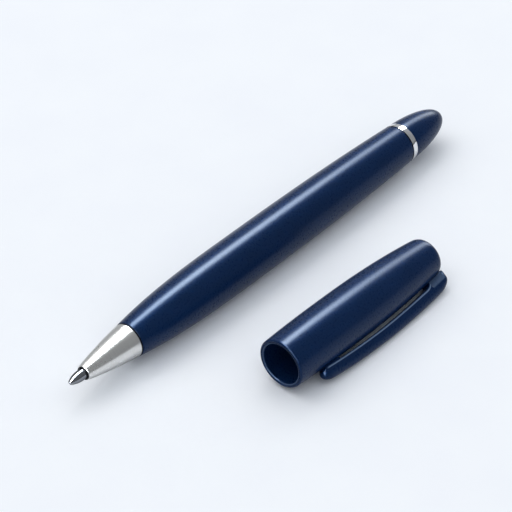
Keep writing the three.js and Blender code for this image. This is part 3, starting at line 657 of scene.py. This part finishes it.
liner = lathe("cap_liner_fine", [
    (LINER_FRONT, LINER_MOUTH_RADIUS, 0.2),
    (LINER_FRONT, LINER_SEAT_RADIUS, 0.15),
    (LINER_WAIST[0], LINER_SEAT_RADIUS),
    (LINER_WAIST[0], LINER_WAIST_RADIUS),
    (LINER_WAIST[1], LINER_WAIST_RADIUS),
    (LINER_WAIST[1], LINER_SEAT_RADIUS),
    (LINER_END, LINER_SEAT_RADIUS),
    (LINER_END, 0),
    (LINER_FLOOR, 0),
    (LINER_FLOOR, LINER_INSIDE_RADIUS, 0.6),
    (LINER_LIP[1], LINER_INSIDE_RADIUS, 0.4),
    (LINER_LIP[1], LINER_LIP_RADIUS, 0.15),
    (LINER_LIP[0], LINER_LIP_RADIUS, 0.15),
], CAP_PLACE, LINING)
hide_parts("cap_liner")
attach(liner, "cap")


# The clip

CLIP_TIP = 6.8
CLIP_END = 51.25
CLIP_CROWN = 26.5
CLIP_HALF_WIDTH = 1.7
CLIP_TIP_CENTRE = 7.67
TIP_ROUND = 2.2
END_ROUND = 1.4
END_BULGE_ROUND = 3.6
LEAST_ROUND = 0.1
SIDE_HEIGHT = 0.3
SIDE_FOLD = 0.14
UNDER_ROUND = 0.5
ROOT_START = 45.45
ROOT_END = 49.95
ROOT_EDGE = 0.12
FINE_REACH = 0.14
ROOT_RUNOUT = 0.75
ROOT_LEAN = 0.36
ROOT_FOOT_HALF = math.sqrt(1.3)
FILLET_START = 43.4
ON_CAP = 0.06
SIDE_POINTS = 8
UNDER_POINTS = 9
CROWN_STEPS = 32

# How much painted highlight lies on points of the clip's side and on its pad, and how much painted
# light on the sides of its root. On the side the highlight line comes in between two stations.
CORNER_SHARES = {2: 0.7, 3: 0.6, 4: 0.15}
HIGHLIGHT_FROM = (8.0, 9.0)
ROOT_SHARE = 0.18
PAD_SHARE = 0.12


def bowed(x, crown, tip, end, tip_power, end_power):
    """A line of the clip that is highest at the crown and lower at both ends."""
    if x <= CLIP_CROWN:
        return crown - (crown - tip) * ((CLIP_CROWN - x) / (CLIP_CROWN - CLIP_TIP)) ** tip_power
    return crown - (crown - end) * ((x - CLIP_CROWN) / (CLIP_END - CLIP_CROWN)) ** end_power


def clip_edge(x):
    """Radius at which the bulging outside of the clip begins."""
    return bowed(x, crown=7.78, tip=7.0, end=6.31, tip_power=2.3, end_power=1.5)


def clip_crest(x):
    """Radius of the outermost line of the clip."""
    return bowed(x, crown=10.0, tip=8.98, end=8.34, tip_power=2.6, end_power=1.9)


def rounding(x, end, size):
    """Share of the full section that is left near a rounded end."""
    left = min(abs(x - end) / size, 1)
    return max(math.sqrt(1 - (1 - left) ** 2), LEAST_ROUND)


def smooth_step(value, start, stop):
    t = min(max((value - start) / (stop - start), 0), 1)
    return t * t * (3 - 2 * t)


def fillet(x):
    """How far the side of the arm reaches down in the hollow corner before the root."""
    t = min(max((x - FILLET_START) / (ROOT_START - FILLET_START), 0), 1)
    return 1 - math.sqrt(1 - t * t)


def root_share(x):
    """One where the clip stands on the cap, zero where it is free."""
    begun = smooth_step(x, ROOT_START - ROOT_EDGE, ROOT_START + ROOT_EDGE)
    return begun * (1 - smooth_step(x, ROOT_END, ROOT_END + ROOT_RUNOUT))


def height_on_cap(x, y, gap):
    """Height of the cap's surface, with a gap, at a distance y from the clip's middle."""
    return math.sqrt(max((cap_radius(x) + gap) ** 2 - y * y, 0))


def clip_section(x):
    """One section of the clip, its radial direction along Z and its width along Y."""
    tip = rounding(x, CLIP_TIP, TIP_ROUND)
    half = CLIP_HALF_WIDTH * min(tip, rounding(x, CLIP_END, END_ROUND))
    edge = clip_edge(x)
    bulge = (clip_crest(x) - edge) * rounding(x, CLIP_END, END_BULGE_ROUND)
    root = root_share(x)
    to_cap = edge - height_on_cap(x, ROOT_FOOT_HALF, ON_CAP)
    fall = SIDE_HEIGHT + fillet(x)
    # A free side as (inwards, down): straight to its lower edge, then an arc to the underside
    free = [(0, 0), (0, fall - SIDE_FOLD), (0, fall)] + [
        (UNDER_ROUND * (1 - math.cos(a)), fall + UNDER_ROUND * math.sin(a))
        for a in stations(0, math.pi / 2, SIDE_POINTS - 3)[1:]]
    side = []
    for (inwards, down), t in zip(free, stations(0, 1, SIDE_POINTS - 1)):
        inwards += (ROOT_LEAN * to_cap * t - inwards) * root
        down += (to_cap * t - down) * root
        side.append((half - min(inwards, half * 0.5), edge - down))
    reach, floor_z = side[-1]
    under = []
    for t in stations(1, -1, UNDER_POINTS + 1)[1:-1]:
        y = reach * t
        under.append((y, floor_z + (height_on_cap(x, y, ON_CAP) - floor_z) * root))
    crown = [
        (half * math.cos(a), edge + bulge * math.sin(a))
        for a in stations(math.pi, 0, CROWN_STEPS)[1:-1]]
    outline = side + under + [(-y, z) for y, z in side[::-1]] + crown
    return [(x, y, CLIP_TIP_CENTRE + (z - CLIP_TIP_CENTRE) * tip) for y, z in outline]


def point_of_side(j):
    """Which point of a side, from its top, the outline's point j is, or None if on neither side."""
    mirrored = 2 * SIDE_POINTS + UNDER_POINTS - 1 - j
    for point in (j, mirrored):
        if 0 <= point < SIDE_POINTS:
            return point
    return None


clip_stations = [
    *[CLIP_TIP + TIP_ROUND * t * t for t in stations(0, 1, 16)[:-1]],
    *stations(CLIP_TIP + TIP_ROUND, FILLET_START, 36)[:-1],
    *dome_stations(FILLET_START, ROOT_START - FINE_REACH, 12)[:-1],
    *stations(ROOT_START - FINE_REACH, ROOT_START + FINE_REACH, 8)[:-1],
    *stations(ROOT_START + FINE_REACH, ROOT_END, 10)[:-1],
    *[CLIP_END - (CLIP_END - ROOT_END) * t ** 1.7 for t in stations(1, 0, 28)],
]
clip_sections = [clip_section(x) for x in clip_stations]
points_round = len(clip_sections[0])
bm = bmesh.new()
add_loft(bm, clip_sections)
# Painted highlight along the clip's inner corners, and painted light on the sides of its root
highlight_layer = bm.verts.layers.float.new(HIGHLIGHT_ATTRIBUTE)
for i, vert in enumerate(bm.verts):
    x = clip_stations[i // points_round]
    side_point = point_of_side(i % points_round)
    free_share = (1 - root_share(x)) * smooth_step(x, *HIGHLIGHT_FROM)
    root_part = 0 if side_point is None else ROOT_SHARE * root_share(x)
    vert[highlight_layer] = CORNER_SHARES.get(side_point, 0) * free_share + root_part
clip = new_piece("clip_fine", bm, CLIP_PLACE, NAVY)

# The pad under the free end. Its sides are (half width, height above the underside) and its
# sections are (x, how far the underside is lifted).
PAD_GAP = 0.1
PAD_HALF = 1.36
PAD_SIDE = ((1.43, 0.05), (1.46, 0.14))
PAD_TOP_HALF = 1.64
PAD_SUNK = 0.2
PAD_RADIUS_AT = 10
PAD_SECTIONS = ((8.0, 0.18), (8.12, 0.05), (8.3, 0.0), (12.5, 0.0), (12.68, 0.05), (12.8, 0.18))


def pad_section(x, lift):
    """One section of the pad: sides that lean in, and an underside that follows the cap."""
    hollow = [
        (y, height_on_cap(PAD_RADIUS_AT, y, PAD_GAP) + lift)
        for y in stations(-PAD_HALF, PAD_HALF, 10)]
    low = hollow[0][1]
    rising = [(y, low + height) for y, height in PAD_SIDE] + [(PAD_TOP_HALF, clip_edge(x) + PAD_SUNK)]
    points = [(-y, z) for y, z in rising[::-1]] + hollow + rising
    return [(x, y, z) for y, z in points]


bm = bmesh.new()
add_loft(bm, [pad_section(x, lift) for x, lift in PAD_SECTIONS])
# A painted highlight over the whole pad
highlight_layer = bm.verts.layers.float.new(HIGHLIGHT_ATTRIBUTE)
for vert in bm.verts:
    vert[highlight_layer] = PAD_SHARE
combine(clip, new_piece("clip_pad", bm, CLIP_PLACE, NAVY), "UNION")

# The foot under the root, and the barb that hooks under the shell
FOOT_LOW = (45.9, -1, 2.65)
FOOT_HIGH = (48.5, 1, 6.4)
BARB_HIGH = (49.3, 1, 3.34)
combine(clip, box("clip_foot", FOOT_LOW, FOOT_HIGH, CLIP_PLACE, NAVY), "UNION")
combine(clip, box("clip_barb", FOOT_LOW, BARB_HIGH, CLIP_PLACE, NAVY), "UNION")
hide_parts("clip")
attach(clip, "clip")


# Looks of the CAD pieces that stay

carried_over = {
    "front_insert": BRASS,
    "tail_insert": BLACK,
    "refill_tube": CLEAR,
    "refill_neck": BLACK,
    "feed_rod": INK,
    "ink_filler": INK,
    "refill_end_plug": BLACK,
    "spring_cup": BLACK,
    "refill_spring": SPRING_STEEL,
    "clip_lock": BLACK,
}
for name, material in carried_over.items():
    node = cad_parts[name]
    node.data.materials.clear()
    node.data.materials.append(material)


# Floor

FLOOR_HALF = 3000
bm = bmesh.new()
bmesh.ops.create_grid(bm, x_segments=1, y_segments=1, size=FLOOR_HALF)
floor = new_piece("table", bm, Matrix.Identity(4), TABLE)


# World: a plain fill, a dimmer room with a long strip light for the gloss, and a pale backdrop

GLOSS_COLOUR = (0.92, 0.96, 1, 1)
FILL_COLOUR = (0.96, 0.985, 1.005, 1)
BACKDROP_COLOUR = linear(243, 247, 254)

# The strip is a band along X behind the pen: the directions whose share along STRIP_ACROSS is near
# STRIP_OFFSET. It is full within STRIP_CORE of that and gone beyond STRIP_EDGE.
STRIP_ACROSS = (0.35, -0.885, 0.4656)
STRIP_OFFSET = 0.215
STRIP_CORE = 0.06
STRIP_EDGE = 0.23
STRIP_STRENGTH = 48

world = bpy.data.worlds.new("studio")
bpy.context.scene.world = world
world.use_nodes = True
world_tree = world.node_tree
nodes = world_tree.nodes
links = world_tree.links


def calculate(operation, *operands):
    """A Math node. Its operands are sockets or plain numbers."""
    node = nodes.new("ShaderNodeMath")
    node.operation = operation
    for socket, operand in zip(node.inputs, operands):
        if isinstance(operand, bpy.types.NodeSocket):
            links.new(operand, socket)
        else:
            socket.default_value = operand
    return node.outputs["Value"]


def background(colour, strength=1.0):
    """A Background node. Its strength is a socket or a plain number."""
    node = nodes.new("ShaderNodeBackground")
    node.inputs["Color"].default_value = colour
    if isinstance(strength, bpy.types.NodeSocket):
        links.new(strength, node.inputs["Strength"])
    else:
        node.inputs["Strength"].default_value = strength
    return node.outputs["Background"]


def choose(share, without, within):
    node = nodes.new("ShaderNodeMixShader")
    links.new(share, node.inputs["Fac"])
    links.new(without, node.inputs[1])
    links.new(within, node.inputs[2])
    return node.outputs["Shader"]


direction = nodes.new("ShaderNodeTexCoord").outputs["Generated"]
parts = nodes.new("ShaderNodeSeparateXYZ")
links.new(direction, parts.inputs["Vector"])
along_x, along_y, along_z = parts.outputs

across_strip = nodes.new("ShaderNodeVectorMath")
across_strip.operation = "DOT_PRODUCT"
across_strip.inputs[1].default_value = STRIP_ACROSS
links.new(direction, across_strip.inputs[0])
from_strip = calculate("ABSOLUTE", calculate("SUBTRACT", across_strip.outputs["Value"], STRIP_OFFSET))
strip = map_range(world_tree, from_strip, STRIP_EDGE, STRIP_CORE, 0, STRIP_STRENGTH, smooth=True)
above_table = map_range(world_tree, along_z, 0.1, 0.3, 0, 1)
fades_at_tail = map_range(world_tree, along_x, 0.55, 0.66, 1.12, 0.25)
strip = calculate("MULTIPLY", strip, calculate("MULTIPLY", above_table, fades_at_tail))

room = map_range(world_tree, along_y, -0.5, 0.6, 0.32, 0.6)
darker_low = map_range(world_tree, along_z, 0, 0.2, 0.4, 1)
gloss = calculate("ADD", calculate("MULTIPLY", room, darker_low), strip)

brighter_overhead = map_range(world_tree, along_z, 0, 1, 0.2, 1.1)
rays = nodes.new("ShaderNodeLightPath")
light = choose(
    rays.outputs["Is Glossy Ray"],
    background(FILL_COLOUR, brighter_overhead),
    background(GLOSS_COLOUR, gloss))
surface = choose(rays.outputs["Is Camera Ray"], light, background(BACKDROP_COLOUR))
links.new(surface, nodes["World Output"].inputs["Surface"])


# Lamps

WARM = (1.04, 0.985, 0.93)
NEARLY_WARM = (1.04, 0.99, 0.93)


def softbox(name, direction, distance, width, height, radiance, colour):
    """A rectangular lamp that looks at the origin. Its width runs along X."""
    light = bpy.data.lights.new(name, "AREA")
    light.shape = "RECTANGLE"
    light.size = width
    light.size_y = height
    light.energy = radiance * width * height * math.pi
    light.color = colour
    lamp = bpy.data.objects.new(name, light)
    back = Vector(direction).normalized()
    across = Vector((1, 0, 0))
    across = (across - back * across.dot(back)).normalized()
    up = back.cross(across)
    turn = Matrix((across, up, back)).transposed().to_4x4()
    lamp.matrix_world = Matrix.Translation(back * distance) @ turn
    bpy.context.scene.collection.objects.link(lamp)


softbox("strip", (0.57, 0.36, 0.73), distance=2.4, width=1.4, height=0.6, radiance=1.4, colour=WARM)
softbox("back_box", (-0.1, 0.55, 0.85), distance=2.8, width=3.4, height=2.2, radiance=0.88,
        colour=NEARLY_WARM)


# Camera

CAMERA_PLACE = (-0.345004, -0.284545, 0.385734)
CAMERA_RIGHT = (0.6613, -0.7501, 0)
CAMERA_BACK = (-0.5746, -0.5066, 0.6428)
SENSOR_WIDTH = 36
FOCAL_LENGTH = 182.25

right = Vector(CAMERA_RIGHT).normalized()
back = Vector(CAMERA_BACK).normalized()
up = back.cross(right)
camera_data = bpy.data.cameras.new("camera")
camera_data.sensor_width = SENSOR_WIDTH
camera_data.lens = FOCAL_LENGTH
camera_data.clip_end = 20
camera = bpy.data.objects.new("camera", camera_data)
camera_turn = Matrix((right, up, back)).transposed().to_4x4()
camera.matrix_world = Matrix.Translation(CAMERA_PLACE) @ camera_turn
bpy.context.scene.collection.objects.link(camera)
bpy.context.scene.camera = camera
bpy.context.scene.view_settings.view_transform = "Standard"

bpy.context.view_layer.update()
